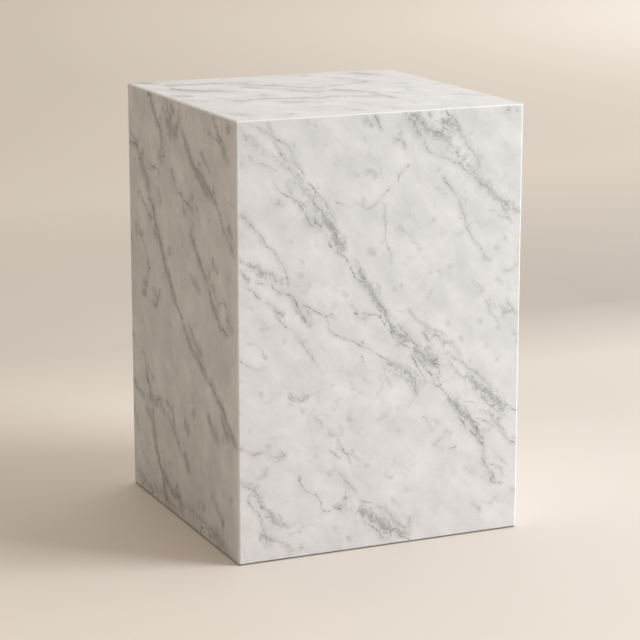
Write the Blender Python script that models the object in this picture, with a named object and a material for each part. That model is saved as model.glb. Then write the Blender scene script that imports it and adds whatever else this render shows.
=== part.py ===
"""Marble block: one squared piece of white, grey-veined stone.

The block stands on its square base. The origin is at the centre of the base,
with +Z up. The bright face of the photograph looks along -Y and the shaded
one along -X. Units are metres.
"""

import bmesh
import bpy

# Driving dimensions of the block.
WIDTH = 0.350
DEPTH = 0.350
HEIGHT = 0.500

# Every edge is eased to a small round, as a mason's rubbing stone leaves it.
ARRIS_RADIUS = 0.0025
ARRIS_SEGMENTS = 4

# Honed white marble, before any veining.
MARBLE_COLOUR = (0.745, 0.725, 0.695, 1.0)
MARBLE_ROUGHNESS = 0.34
MARBLE_METALLIC = 0.0


def clear_scene():
    """Remove whatever objects the opened file holds."""
    for thing in list(bpy.data.objects):
        bpy.data.objects.remove(thing, do_unlink=True)


def marble_material():
    """The stone's plain colour and its honed finish."""
    material = bpy.data.materials.new("marble")
    material.use_nodes = True
    shader = material.node_tree.nodes["Principled BSDF"]
    shader.inputs["Base Color"].default_value = MARBLE_COLOUR
    shader.inputs["Roughness"].default_value = MARBLE_ROUGHNESS
    shader.inputs["Metallic"].default_value = MARBLE_METALLIC
    return material


def sawn_block(mesh):
    """Fill the mesh with the sharp-edged block, standing on z = 0."""
    shape = bmesh.new()
    bmesh.ops.create_cube(shape, size=1.0)
    bmesh.ops.scale(shape, vec=(WIDTH, DEPTH, HEIGHT), verts=shape.verts)
    bmesh.ops.translate(shape, vec=(0.0, 0.0, HEIGHT / 2), verts=shape.verts)
    shape.to_mesh(mesh)
    shape.free()


def ease_arrises(block):
    """Round all twelve edges with a live bevel."""
    bevel = block.modifiers.new("eased arrises", "BEVEL")
    bevel.width = ARRIS_RADIUS
    bevel.segments = ARRIS_SEGMENTS
    bevel.limit_method = "NONE"


def marble_block():
    """Make the one piece of the object."""
    mesh = bpy.data.meshes.new("marble_block")
    sawn_block(mesh)
    block = bpy.data.objects.new("marble_block", mesh)
    bpy.context.scene.collection.objects.link(block)
    ease_arrises(block)
    mesh.materials.append(marble_material())
    return block


clear_scene()
marble_block()
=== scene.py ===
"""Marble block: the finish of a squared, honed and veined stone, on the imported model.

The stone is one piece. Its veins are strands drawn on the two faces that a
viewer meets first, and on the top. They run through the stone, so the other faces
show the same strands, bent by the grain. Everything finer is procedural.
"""

import math

import bpy
from bpy.props import FloatProperty, FloatVectorProperty, IntProperty, PointerProperty
from bpy.types import Operator, Panel, PropertyGroup
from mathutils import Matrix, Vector, noise


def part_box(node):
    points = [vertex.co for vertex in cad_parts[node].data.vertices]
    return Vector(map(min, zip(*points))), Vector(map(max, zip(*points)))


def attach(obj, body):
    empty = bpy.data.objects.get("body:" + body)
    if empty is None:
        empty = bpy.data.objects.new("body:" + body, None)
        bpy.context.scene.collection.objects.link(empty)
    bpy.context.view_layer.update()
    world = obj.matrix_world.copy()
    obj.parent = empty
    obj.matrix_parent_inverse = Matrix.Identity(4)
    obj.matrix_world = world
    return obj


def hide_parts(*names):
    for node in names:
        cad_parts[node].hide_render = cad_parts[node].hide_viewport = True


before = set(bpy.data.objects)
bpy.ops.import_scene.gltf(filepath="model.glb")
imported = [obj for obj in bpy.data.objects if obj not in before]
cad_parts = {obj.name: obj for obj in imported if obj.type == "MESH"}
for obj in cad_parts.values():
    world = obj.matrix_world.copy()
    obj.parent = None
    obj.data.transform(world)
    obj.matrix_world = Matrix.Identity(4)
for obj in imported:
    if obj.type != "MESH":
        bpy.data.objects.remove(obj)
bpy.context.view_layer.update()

bl_info = {
    "name": "Marble block",
    "version": (1, 0, 0),
    "blender": (4, 5, 0),
    "location": "3D View > Sidebar > Marble",
    "description": "Builds a honed, veined marble block and a plain studio around it",
    "category": "Add Mesh",
}

NODE = "marble_block"
LOW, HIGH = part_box(NODE)
WIDTH, DEPTH, HEIGHT = HIGH - LOW
MM = 0.001

# The veins. Each is a half width in mm, then points along it. On the upright faces a
# point is mm round the block from the near edge, positive along the bright face and
# negative along the shaded one, then mm up, then how strongly the vein shows there.
FACE_STRANDS = (
    # great band, from the top edge to the first knot
    (1.3, (13, 499, .6), (27, 491, .9), (40, 483, .7), (52, 477, .9), (59, 471, .5), (65, 460, .5),
     (67, 456, .8), (69, 452, .5), (77, 443, .8), (82, 432, .8)),
    (2.2, (81, 430, .9), (94, 418, .9), (97, 415, .6)),
    (1.3, (94, 418, .7), (103, 409, .7), (114, 387, .5), (117, 382, .9), (121, 377, .4)),
    (1.3, (35, 500, .7), (42, 486, .5), (44, 481, .9)),
    (1.8, (4, 500, .4), (9, 486, .5), (12, 479, .4), (19, 469, .4)),
    (1.5, (3, 467, .5), (7, 463, .8), (12, 459, .4), (33, 451, .6), (37, 449, .9), (42, 446, .5),
     (50, 441, .4)),
    (1.2, (45, 478, .3), (56, 457, .7), (60, 455, .4), (66, 449, .4)),
    (1.3, (31, 469, .3), (41, 458, .4), (47, 455, .4)),
    (1.3, (40, 437, .4), (50, 422, .7), (53, 419, 1), (70, 409, .7), (78, 402, .8), (88, 399, .5)),
    (2, (91, 397, .8), (94, 396, 1), (98, 398, .9)),
    (1.2, (56, 434, .9), (61, 424, .6), (66, 414, .7)),
    (1.3, (61, 432, .9), (66, 430, .5), (75, 425, .6), (83, 421, 1), (93, 417, .8)),
    (1.3, (71, 439, .4), (73, 435, .9), (76, 430, .7), (79, 427, .9)),
    (2.5, (53, 416, .4), (47, 405, .6)),
    (1.3, (73, 404, .8), (79, 395, .9)),
    (2, (79, 394, .9), (83, 392, 1), (87, 392, .9)),
    (1.6, (81, 391, .8), (88, 382, .8), (92, 379, .8)),
    (2.4, (98, 410, .5), (102, 407, .9), (106, 404, .6)),
    (2, (92, 389, .9), (98, 379, 1), (107, 373, .9)),
    (1.2, (96, 398, .7), (105, 389, .8), (108, 384, .5)),
    (1.5, (103, 372, .6), (110, 361, .9), (111, 355, .9), (118, 349, 1)),
    (1.5, (112, 371, .9), (119, 363, .8), (123, 352, 1)),
    (1.2, (121, 363, .8), (125, 360, .8), (128, 350, .9)),
    (1.2, (125, 368, .7), (130, 357, .6), (131, 350, .6), (129, 342, .8)),
    (2.4, (120, 350, 1), (127, 354, .9)),
    # great band, ribbon
    (1.7, (115, 350, .8), (128, 342, .9), (135, 334, 1), (143, 317, 1), (157, 303, .8), (167, 286, .8),
     (178, 262, .8), (182, 259, .9), (191, 243, 1), (200, 236, .8), (212, 230, .9), (217, 229, 1),
     (220, 227, .7)),
    (1.1, (139, 338, .4), (145, 333, .5), (147, 327, .5), (152, 326, .4), (159, 318, .6)),
    (1.8, (142, 324, .9), (148, 318, .9)),
    (1.3, (147, 313, .9), (157, 310, .8), (161, 310, .9), (166, 307, .7)),
    (2, (159, 315, 1), (163, 315, 1), (168, 310, .8)),
    (1.1, (168, 310, .6), (171, 298, .5), (182, 275, .4), (193, 261, .6)),
    (1.6, (193, 261, .7), (201, 251, 1), (206, 244, .8), (211, 240, 1), (220, 231, .6), (226, 230, .7)),
    (2, (188, 256, .9), (191, 253, 1), (199, 250, .9)),
    (2, (190, 248, 1), (197, 242, 1)),
    # net below the ribbon
    (1.2, (222, 250, .5), (226, 247, .5), (229, 243, .9), (234, 235, 1), (235, 230, .8)),
    (2, (227, 229, 1), (231, 230, 1), (243, 224, .5)),
    (1.6, (228, 229, .8), (234, 221, 1), (238, 216, .8)),
    (2.4, (222, 217, 1), (229, 213, .9)),
    (1.2, (217, 229, .8), (222, 225, .9), (223, 219, .7)),
    (1.4, (212, 221, .9), (223, 203, .8)),
    (1.4, (217, 219, .7), (225, 211, .9), (240, 191, 1), (243, 187, .7)),
    (1.4, (215, 210, .6), (217, 200, 1), (220, 196, 1)),
    (2, (219, 196, .9), (222, 195, 1), (225, 197, 1)),
    (1.1, (221, 203, .6), (232, 188, .6)),
    (1.4, (229, 214, .6), (242, 208, 1), (251, 206, .9)),
    (1.8, (250, 210, .8), (251, 202, 1)),
    (2.4, (242, 216, .9), (245, 218, 1), (247, 214, 1)),
    (1.2, (245, 220, .8), (253, 221, 1), (257, 219, .7), (274, 208, 1), (279, 204, .6), (284, 200, .8),
     (290, 195, .6), (301, 187, .7), (318, 170, .5), (324, 168, .5), (332, 157, .6), (334, 152, 1),
     (350, 140, .9)),
    (1.1, (206, 280, .5), (209, 272, .6), (219, 261, .6), (232, 252, .4), (247, 246, .6), (252, 241, .6),
     (255, 235, .3)),
    (1.2, (262, 233, .6), (266, 231, .9), (267, 225, .5), (274, 213, .6), (275, 208, .8)),
    (1, (257, 213, .3), (275, 190, .9), (283, 183, .4)),
    (1.4, (284, 199, .8), (284, 189, 1)),
    (1.1, (285, 198, .8), (291, 188, .5)),
    (1, (250, 187, .5), (268, 188, .7)),
    (1.5, (241, 198, .8), (247, 189, 1), (252, 178, .7)),
    (1.5, (240, 187, .9), (242, 183, 1), (249, 179, .9), (259, 169, .9), (262, 163, .9)),
    (1.1, (175, 215, .6), (187, 187, .3)),
    (1.1, (178, 211, .5), (195, 199, .5), (204, 195, .4), (212, 189, .7), (219, 178, .8), (221, 172, .5)),
    # great band, below the net
    (3, (262, 162, .9), (272, 155, .9)),
    (2, (266, 152, 1), (270, 150, 1)),
    (1.6, (269, 150, .9), (286, 125, 1), (297, 115, 1), (305, 103, .7), (306, 97, .6), (305, 91, 1),
     (310, 78, 1), (315, 63, 1), (325, 56, 1), (331, 55, .9)),
    (1.6, (274, 147, .9), (280, 139, 1)),
    (1.5, (281, 144, .8), (295, 135, 1), (303, 129, .6)),
    (1.4, (284, 133, .7), (289, 126, 1), (297, 122, .6)),
    (1.5, (294, 134, .8), (300, 122, 1)),
    (2, (301, 119, .9), (305, 112, .9)),
    (1.6, (306, 107, 1), (309, 100, .7)),
    (1.6, (309, 78, .9), (318, 69, .9), (321, 64, 1), (322, 59, .9)),
    (1.1, (272, 161, .5), (276, 158, .8), (283, 159, .6), (288, 157, .8), (295, 157, .6)),
    (1, (298, 157, .5), (291, 145, .4)),
    # branch to the right edge
    (2.4, (298, 171, 1), (304, 161, 1), (309, 161, 1), (313, 157, 1)),
    (1.6, (293, 181, .5), (300, 172, 1)),
    (2.4, (314, 162, .9), (318, 163, .9), (325, 157, .7)),
    (1.4, (303, 157, .6), (308, 156, .8), (314, 151, 1), (323, 153, 1), (328, 152, .9)),
    (1.3, (336, 145, .8), (342, 145, .8), (350, 141, 1)),
    (1.3, (295, 139, .8), (300, 140, .7), (308, 132, .7), (317, 127, 1), (320, 122, .7), (328, 118, .8),
     (335, 110, .9), (350, 101, .9)),
    (1.2, (305, 121, .6), (311, 120, .6), (315, 121, .7), (317, 126, .8)),
    (1.1, (324, 136, .9), (328, 121, .4)),
    (1.1, (324, 136, .7), (334, 139, .7)),
    (1.3, (340, 108, .8), (344, 110, .9), (350, 109, .7)),
    (1.2, (313, 84, .4), (321, 78, .8), (327, 76, .7), (334, 65, .5)),
    (1, (322, 91, .4), (330, 85, .4), (336, 77, .3)),
    (1.8, (278, 84, .4), (283, 80, .7), (295, 71, .4)),
    (1.2, (338, 51, .5), (350, 43, .8)),
    # second and third veins, from the near edge
    (1.5, (0, 403, .6), (9, 396, .9), (16, 386, .8), (29, 374, .8), (33, 365, 1), (41, 357, .7),
     (42, 352, 1), (46, 350, .6), (53, 341, .7), (61, 318, .8), (63, 313, .9)),
    (1.5, (63, 313, .8), (61, 309, .9), (61, 305, 1), (69, 299, .9), (72, 289, .9), (87, 267, 1)),
    (1.2, (75, 290, .9), (79, 291, .8), (83, 289, 1), (93, 284, .8), (97, 281, 1), (101, 278, .8),
     (112, 276, .7), (115, 278, .9)),
    (1.2, (84, 289, .8), (86, 285, .9), (84, 281, .7)),
    (1.1, (115, 278, .8), (120, 269, .6)),
    (1.1, (112, 283, .5), (115, 288, .5), (119, 288, .5), (124, 285, .4)),
    (1.3, (103, 278, .5), (112, 259, .7), (114, 256, 1), (128, 250, .6), (134, 247, 1), (138, 246, .6),
     (145, 241, 1), (147, 238, 1), (155, 235, 1), (159, 235, 1), (168, 227, .8), (171, 224, 1),
     (188, 216, .6), (205, 208, .6), (213, 205, .9)),
    (1.3, (144, 244, .7), (156, 238, 1)),
    (1, (149, 227, .9), (153, 216, .6)),
    (1.8, (137, 280, 1), (140, 277, .7), (146, 274, 1), (149, 277, .8)),
    (1.5, (149, 277, .9), (158, 273, 1), (163, 274, .9), (172, 269, 1), (177, 264, .9)),
    (1.2, (145, 270, .6), (151, 270, .8), (155, 268, .4), (158, 270, 1), (159, 266, .7)),
    (1.3, (3, 350, .8), (9, 342, .7)),
    (1.1, (8, 345, .6), (13, 344, .7), (33, 330, .6), (38, 321, .7)),
    (1.5, (38, 321, .7), (47, 310, .9), (60, 304, .8)),
    (1.3, (2, 338, .7), (14, 324, .8), (16, 319, .5)),
    (1.1, (12, 319, .6), (20, 310, 1), (28, 302, .4)),
    (1.1, (20, 326, .5), (24, 320, .6), (29, 319, 1), (33, 317, .5), (43, 314, .6)),
    (1.1, (34, 300, .4), (42, 293, .6), (46, 287, 1), (51, 277, .8), (60, 266, .8), (66, 262, .5),
     (80, 245, 1), (84, 239, .7), (88, 232, .9), (97, 219, .6), (103, 209, .5)),
    (1, (46, 287, .7), (59, 280, .5)),
    (1.2, (0, 238, .6), (9, 231, 1), (18, 225, .6), (31, 222, .4)),
    (1, (12, 255, .4), (25, 251, .7), (37, 233, .4)),
    # shoulder, top right
    (1.8, (201, 500, .9), (205, 493, .8), (210, 489, .7), (213, 484, .9), (214, 479, .9), (221, 470, 1),
     (223, 464, .9)),
    (1.4, (221, 472, .6), (226, 469, .8), (228, 464, .7), (227, 457, .7), (234, 450, .8), (240, 448, .3),
     (263, 440, .8), (268, 437, .8), (276, 429, 1), (281, 426, 1), (285, 423, .5), (296, 414, .8),
     (304, 406, 1), (309, 404, .5), (313, 402, .9), (320, 393, 1)),
    (1.5, (316, 397, .8), (327, 391, .7)),
    (2, (228, 500, .8), (234, 492, 1), (237, 489, .8)),
    (1.2, (236, 489, .8), (246, 484, .9), (251, 476, .8), (258, 475, .5), (265, 471, .5)),
    (1.4, (245, 499, .6), (247, 495, 1), (248, 491, .9)),
    (1.4, (251, 499, .8), (253, 494, 1), (259, 486, .7)),
    (1.8, (262, 500, .9), (264, 495, 1)),
    (1.8, (262, 490, 1), (264, 486, 1)),
    (1.3, (264, 487, .8), (271, 470, .8), (285, 449, .9), (293, 437, .5), (295, 431, .6)),
    (2, (230, 471, 1), (233, 469, 1), (236, 472, .9)),
    (1.3, (244, 481, .6), (247, 478, .9), (249, 469, .9)),
    (1.8, (251, 481, .7), (255, 480, .9)),
    (1.5, (183, 471, .8), (188, 470, .9), (193, 467, .8), (196, 467, 1), (206, 455, .5)),
    (1.2, (160, 499, .7), (164, 496, 1), (177, 477, .7)),
    (2, (151, 487, .5), (159, 491, .5)),
    (1.2, (111, 406, .7), (114, 405, 1), (123, 401, .9), (134, 400, .2), (143, 401, .3), (149, 400, .4),
     (155, 394, .9), (159, 393, 1), (166, 398, .9), (171, 401, .3), (178, 408, .9), (186, 418, .9),
     (191, 420, .8)),
    (1.4, (191, 419, .8), (195, 430, .9), (206, 438, .8), (207, 443, .6)),
    (1, (186, 418, .6), (192, 418, .5), (199, 416, .5)),
    (2, (240, 435, .6), (243, 431, 1), (247, 428, .8)),
    (1.1, (246, 429, .8), (260, 409, .9), (267, 399, .6), (282, 360, .7), (288, 348, .4), (299, 338, .6),
     (302, 332, .9), (305, 327, .8), (310, 323, .5)),
    (1, (266, 380, .4), (271, 375, .5), (277, 372, .6)),
    (1.5, (320, 393, .8), (326, 383, .9), (329, 378, .8), (330, 373, .9)),
    (1.2, (307, 381, .7), (312, 381, .6), (318, 378, .5), (323, 373, .5), (328, 373, 1), (335, 368, .7),
     (337, 364, .6)),
    (1.4, (335, 384, .7), (338, 381, 1), (344, 376, .9), (350, 374, 1)),
    (2, (338, 373, 1), (341, 376, 1)),
    (1, (283, 432, .5), (296, 431, .6)),
    (1.6, (264, 446, .5), (268, 445, .8), (274, 442, .5)),
    (1.5, (330, 500, .8), (329, 491, .9)),
    (1.3, (323, 492, .7), (328, 490, .9)),
    (1.3, (320, 500, .8), (323, 497, .6)),
    # middle, right of the arch
    (1, (177, 402, .5), (178, 377, .9), (180, 371, .7), (178, 362, .5), (180, 350, .8), (183, 345, .6),
     (185, 339, 1), (186, 330, .5)),
    (1, (182, 361, .6), (184, 367, .6), (190, 371, .7), (196, 371, .9), (209, 358, .5), (220, 345, .7),
     (229, 331, .4), (234, 321, .5)),
    (2.4, (233, 318, .9), (236, 311, .8)),
    (2.2, (233, 297, .8), (238, 292, .9)),
    (1.8, (215, 314, .6), (217, 309, .8)),
    (1.8, (222, 307, .6), (227, 306, .8)),
    (1.8, (245, 312, .6), (248, 308, .8)),
    (1.3, (196, 366, .6), (200, 366, .9)),
    (3, (247, 367, .5), (249, 360, .6)),
    (2, (285, 305, .4), (305, 288, .5)),
    (1.6, (312, 282, .6), (316, 281, .9), (320, 280, .8)),
    (1, (305, 278, .8), (313, 262, .5), (318, 256, .8), (321, 250, .5), (323, 240, .3)),
    (1.3, (324, 254, 1), (328, 257, .7), (332, 262, .8)),
    (1.2, (330, 279, .6), (334, 275, .8), (335, 269, .7), (345, 262, .6), (350, 256, .8)),
    (1.2, (319, 303, .5), (327, 291, .7)),
    (1.2, (330, 309, .8), (338, 309, .5), (343, 313, .6)),
    (1.6, (337, 236, .4), (350, 231, .8)),
    (1.6, (305, 225, .5), (311, 219, .5)),
    (1.8, (314, 184, .9), (318, 184, .9)),
    # lower left
    (1.3, (92, 165, .5), (95, 159, .9), (98, 154, .6), (100, 149, .7), (104, 143, .4)),
    (1.6, (109, 143, .8), (117, 136, .9)),
    (1, (99, 166, .6), (106, 164, .6), (113, 160, .4)),
    (1.2, (119, 133, .5), (128, 120, .7), (134, 109, .9), (137, 103, .5), (143, 88, .4), (148, 81, .3)),
    (1.1, (110, 126, .6), (113, 120, .8), (126, 110, .4)),
    (1, (131, 116, .7), (154, 103, .4)),
    (2.4, (111, 100, .3), (118, 98, .4), (132, 84, .5), (142, 70, .7), (148, 64, .8)),
    (1.5, (72, 98, .8), (73, 95, 1), (77, 86, .7), (82, 77, .9), (94, 72, 1), (97, 68, 1), (101, 55, .8),
     (105, 50, .9), (111, 49, .6), (118, 48, .8)),
    (1.4, (130, 158, .8), (132, 154, .6), (136, 153, .6), (141, 154, 1)),
    (1.4, (11, 131, .6), (13, 129, 1), (19, 125, .8), (26, 129, .9), (31, 128, .9)),
    (1.6, (28, 138, .9), (30, 138, .9)),
    (1.2, (33, 137, .5), (37, 137, .6), (40, 134, .8)),
    (1.2, (0, 137, 1), (10, 131, .5)),
    (1.6, (49, 130, .4), (53, 127, .6), (57, 121, .9), (61, 117, .4)),
    (2, (48, 120, .8), (49, 115, 1), (50, 111, .8)),
    (1.4, (34, 109, .5), (33, 104, .9), (31, 101, .8), (26, 99, .7)),
    (1.3, (1, 98, .7), (9, 93, .6), (13, 88, .6), (18, 88, .5), (23, 89, .9)),
    (2.2, (13, 81, .9), (17, 82, 1), (20, 80, .9)),
    (1.4, (12, 82, .7), (10, 78, .8), (20, 63, .9), (27, 51, .6), (33, 28, .5), (33, 19, .6)),
    (1.6, (21, 74, .9), (22, 70, 1), (25, 67, 1), (32, 65, .9), (36, 61, .6)),
    (1.2, (28, 58, .7), (33, 53, .9), (43, 52, .8), (58, 40, .9), (65, 39, .9)),
    (1.3, (44, 58, .8), (48, 56, .9), (51, 51, 1), (52, 46, .5)),
    (1.2, (65, 39, .8), (68, 44, .8), (73, 43, .5)),
    (1.3, (54, 23, .6), (61, 8, .5), (65, 2, .8)),
    (1.5, (34, 1, .8), (36, 7, .9), (40, 2, .8)),
    (1.5, (110, 58, .7), (123, 51, 1), (128, 50, .8), (134, 45, .6)),
    (1.6, (122, 51, .9), (128, 59, 1)),
    (1.4, (127, 61, .8), (131, 64, 1), (136, 65, 1)),
    (1.2, (113, 33, .6), (117, 30, .5), (121, 26, .8)),
    (1.5, (136, 17, .9), (139, 13, .8)),
    # foot vein
    (1.5, (146, 61, 1), (176, 45, .8), (187, 36, .9), (191, 29, .9), (209, 16, .6)),
    (1.5, (148, 44, .5), (154, 31, .8), (169, 22, .7), (177, 9, .9), (184, 6, .6)),
    (1.6, (156, 39, .9), (160, 38, 1), (162, 41, .8)),
    (1.2, (172, 35, .7), (180, 31, .6), (199, 10, .9), (212, 3, 1)),
    (1.2, (200, 18, .7), (207, 15, .7), (211, 9, .7)),
    (1.1, (211, 31, .9), (212, 9, .6)),
    (1.3, (211, 32, .8), (215, 32, .9), (219, 27, .7)),
    (1.4, (187, 58, .5), (190, 52, .9), (197, 46, .7)),
    (1.2, (227, 150, .4), (231, 144, .8), (243, 124, .2)),
    (1.2, (231, 146, .5), (249, 140, .6)),
    (1.5, (242, 138, .8), (247, 137, .9)),
    (1, (238, 110, .7), (254, 123, .4), (261, 131, .8)),
    (1.8, (259, 106, .9), (271, 107, .9), (275, 103, .9)),
    (1.6, (272, 101, .8), (278, 100, 1)),
    (2.4, (197, 166, .7), (198, 158, .8)),
    (2.4, (176, 158, .7), (178, 153, .7)),
    (1.2, (175, 89, .4), (183, 83, .6), (190, 80, .9)),
    (2, (205, 69, .7), (206, 62, .8)),
    (1.6, (212, 67, .5), (212, 61, .5)),
    (1.5, (303, 67, .7), (306, 67, .8)),
    (1.4, (290, 37, .3), (296, 34, .4), (301, 29, .8), (305, 24, .6)),
    (1, (318, 38, .4), (325, 42, .6)),
    (1.8, (124, 215, .6), (124, 211, .8)),
    (1.6, (139, 207, .6), (142, 203, 1)),
    (1.3, (56, 184, .9), (64, 178, 1), (67, 177, 1), (71, 173, .8)),
    (1.5, (63, 185, .8), (63, 181, .9)),
    (1.2, (72, 188, .5), (75, 190, .6), (80, 187, .5), (87, 184, 1), (91, 186, .9)),
    (1.3, (84, 191, .7), (92, 186, .9)),
    (1.6, (36, 271, .5), (37, 266, .9)),
    (1.8, (98, 321, .7), (101, 319, .6)),
    (1.4, (49, 380, .5), (55, 380, .4), (60, 381, .9)),
    (1.5, (20, 434, .7), (21, 430, .6)),
    (2.2, (83, 499, .5), (85, 493, .7)),
    (1.4, (133, 422, .6), (137, 420, .8)),
    (1.4, (150, 436, .2), (156, 436, .5), (168, 427, .2)),
    (2, (155, 350, .5), (166, 341, .5)),
    (1, (73, 327, .3), (80, 323, .4)),
    (1, (124, 304, .3), (133, 296, .3)),
    (1.6, (119, 182, .4), (120, 174, .7)),
    (1.2, (155, 196, .4), (162, 197, .5)),
    # the shaded face, from its far top corner
    (2.5, (-276, 498, .9), (-271, 495, 1), (-263, 485, .5), (-253, 478, .9), (-249, 474, .4),
     (-246, 468, .5), (-240, 465, .7), (-237, 460, .7), (-236, 455, .8), (-233, 450, .5), (-233, 443, .7),
     (-230, 437, .4)),
    (2.4, (-240, 475, .6), (-235, 473, 1), (-233, 468, .7), (-234, 464, .7)),
    (2.4, (-226, 444, .6), (-221, 445, 1), (-217, 449, .7)),
    (2.4, (-242, 427, .5), (-217, 429, .7), (-213, 426, .6)),
    (1.9, (-216, 498, .9), (-210, 488, .7), (-204, 484, .8), (-201, 480, 1), (-197, 475, .8)),
    (1.8, (-203, 496, .7), (-193, 487, .9), (-187, 483, .7)),
    (2, (-220, 471, .7), (-215, 470, .9), (-207, 463, .6), (-200, 452, .7), (-196, 449, .4)),
    (2, (-192, 466, .5), (-186, 468, .6), (-179, 466, .6)),
    (1.8, (-184, 458, .6), (-178, 459, .9)),
    (1.8, (-204, 420, .6), (-201, 419, .8), (-197, 412, .8), (-193, 409, .4), (-183, 396, .8),
     (-180, 394, .9), (-176, 395, .6), (-168, 392, .8), (-165, 388, .5), (-165, 384, .8), (-158, 374, .4),
     (-153, 371, .6)),
    (2.4, (-350, 431, .5), (-342, 430, .6), (-333, 431, .6), (-327, 429, .9), (-316, 430, 1),
     (-311, 424, .6)),
    (1.8, (-350, 447, .6), (-341, 443, .7), (-337, 440, .7), (-334, 435, .6)),
    (1.4, (-311, 421, .8), (-292, 422, 1)),
    (2.2, (-287, 418, .7), (-284, 416, 1), (-281, 414, .5)),
    (1.9, (-274, 413, .6), (-262, 411, 1), (-257, 410, .6), (-250, 409, .6)),
    (1.7, (-246, 412, .7), (-238, 413, .9)),
    (1.9, (-245, 407, .6), (-242, 409, .9)),
    (2.4, (-309, 420, .7), (-306, 416, .8), (-303, 411, .5), (-295, 400, .8), (-290, 397, .6),
     (-285, 393, .8), (-281, 382, 1), (-277, 377, .4), (-274, 372, .6)),
    (1, (-318, 373, .7), (-306, 375, .6)),
    (2, (-306, 369, .5), (-299, 367, .7), (-294, 361, .5), (-283, 354, .9), (-278, 350, .8),
     (-262, 349, .6)),
    (2.4, (-287, 370, .7), (-273, 369, .7), (-267, 367, 1), (-252, 338, .8), (-248, 331, 1),
     (-234, 318, 1), (-230, 316, .8), (-226, 317, .4)),
    (2, (-235, 315, .7), (-232, 311, .8), (-224, 302, .4)),
    (2.8, (-265, 340, .7), (-257, 328, 1), (-252, 330, .7)),
    (2.2, (-255, 392, .3), (-240, 379, .4), (-232, 366, .2)),
    # the shaded face's garland
    (1.9, (-174, 500, .8), (-169, 493, .9), (-168, 487, .7), (-167, 474, .9), (-156, 459, .8),
     (-154, 455, 1), (-150, 451, .7), (-145, 446, 1), (-137, 439, .8), (-127, 430, 1), (-122, 429, 1),
     (-113, 430, .9), (-99, 422, .9), (-86, 417, .8), (-72, 407, .8), (-66, 404, .8), (-61, 404, .9),
     (-57, 402, .9), (-52, 393, .8), (-40, 378, .6), (-37, 374, .8), (-28, 366, .4), (-17, 360, .8),
     (-8, 353, .6), (2, 347, .5)),
    (1.7, (-127, 428, .7), (-122, 424, 1), (-110, 421, .8), (-106, 420, 1), (-103, 416, .7),
     (-81, 403, .9), (-76, 401, .5)),
    (2, (-71, 412, .8), (-62, 412, 1), (-57, 413, .6), (-50, 412, .4), (-45, 409, .5)),
    (1.4, (-110, 447, .7), (-105, 449, .9), (-99, 450, .7), (-95, 446, .4), (-91, 443, .6), (-82, 436, .5),
     (-78, 430, .3), (-76, 425, .5)),
    (1.8, (-66, 498, .7), (-52, 480, .6), (-42, 474, .9)),
    (1.7, (-85, 474, .4), (-60, 472, .7), (-48, 469, .8), (-42, 472, .9), (-39, 476, .7), (-38, 482, .7),
     (-40, 498, .5)),
    (1.8, (-76, 464, .5), (-72, 463, .7), (-69, 467, .4)),
    (2.2, (-40, 468, .5), (-35, 465, .5), (-30, 456, .6), (-17, 451, .4)),
    (2.6, (-28, 495, .5), (-19, 488, .6), (-18, 480, .3)),
    (1.6, (-31, 379, .7), (-26, 378, .8), (-22, 379, .9), (-13, 373, .6), (-11, 369, .5)),
    (1.4, (-30, 408, .4), (-16, 408, .6), (-3, 404, .7)),
    (1.8, (-163, 388, .5), (-151, 387, .9), (-145, 385, .5), (-131, 382, .3)),
    (1.4, (-140, 391, .4), (-131, 397, .5)),
    (2, (-118, 383, .9), (-116, 386, .6)),
    (2.1, (-147, 358, .6), (-143, 359, .8), (-138, 357, .5), (-139, 352, .7), (-129, 343, .9),
     (-126, 339, .7), (-105, 321, .9), (-102, 315, .9), (-93, 310, .7), (-88, 306, .9), (-84, 298, .8),
     (-77, 290, 1), (-76, 285, .8), (-68, 280, 1), (-58, 273, .7), (-50, 265, .9), (-48, 260, .9),
     (-44, 259, .9), (-36, 261, 1), (-28, 257, .9)),
    (2.4, (-72, 341, .9), (-70, 331, .7), (-62, 327, .6), (-59, 322, .8), (-50, 317, .4)),
    (2.3, (-84, 330, .4), (-81, 324, .6), (-82, 316, .5), (-85, 308, .7)),
    (2.1, (-80, 306, .6), (-68, 301, .5), (-63, 297, .7), (-60, 292, .7), (-54, 289, .6), (-38, 294, .5),
     (-34, 291, .9), (-31, 290, .7)),
    (1.9, (-84, 289, .5), (-83, 282, .8)),
    (1.9, (-32, 279, .9), (-19, 264, .6), (-16, 260, .3)),
    (1.5, (-16, 269, .5), (-11, 271, .7), (-8, 268, .4)),
    (1.8, (-145, 307, .4), (-138, 300, .5), (-129, 298, .4), (-116, 293, .4), (-108, 292, .3)),
    # the shaded face, beyond its garland
    (2.4, (-317, 349, .6), (-316, 344, .8), (-316, 336, .6), (-309, 322, .6), (-304, 321, .8),
     (-301, 320, .5)),
    (2.4, (-330, 332, .4), (-325, 329, .6), (-321, 322, .9)),
    (2.6, (-347, 310, .6), (-343, 312, .7), (-340, 311, .6)),
    (2.2, (-278, 318, .5), (-274, 317, .8), (-272, 319, .5)),
    (2.6, (-289, 296, .6), (-280, 285, 1), (-277, 282, .7)),
    (2, (-287, 277, .7), (-287, 272, .8), (-291, 268, .8), (-302, 264, .7), (-309, 263, .4)),
    (1.7, (-314, 247, .5), (-309, 250, .8), (-304, 251, .7), (-293, 253, 1), (-290, 254, .7)),
    (1.8, (-270, 243, .5), (-259, 245, 1), (-257, 249, .6), (-254, 254, .6), (-250, 256, .6),
     (-247, 260, .4), (-246, 266, .4)),
    (3, (-215, 327, .7), (-212, 320, .6), (-212, 313, .6)),
    (1.5, (-190, 343, .6), (-186, 344, .8), (-183, 345, .5)),
    (1.8, (-350, 193, .6), (-345, 192, 1), (-341, 194, .6)),
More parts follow.
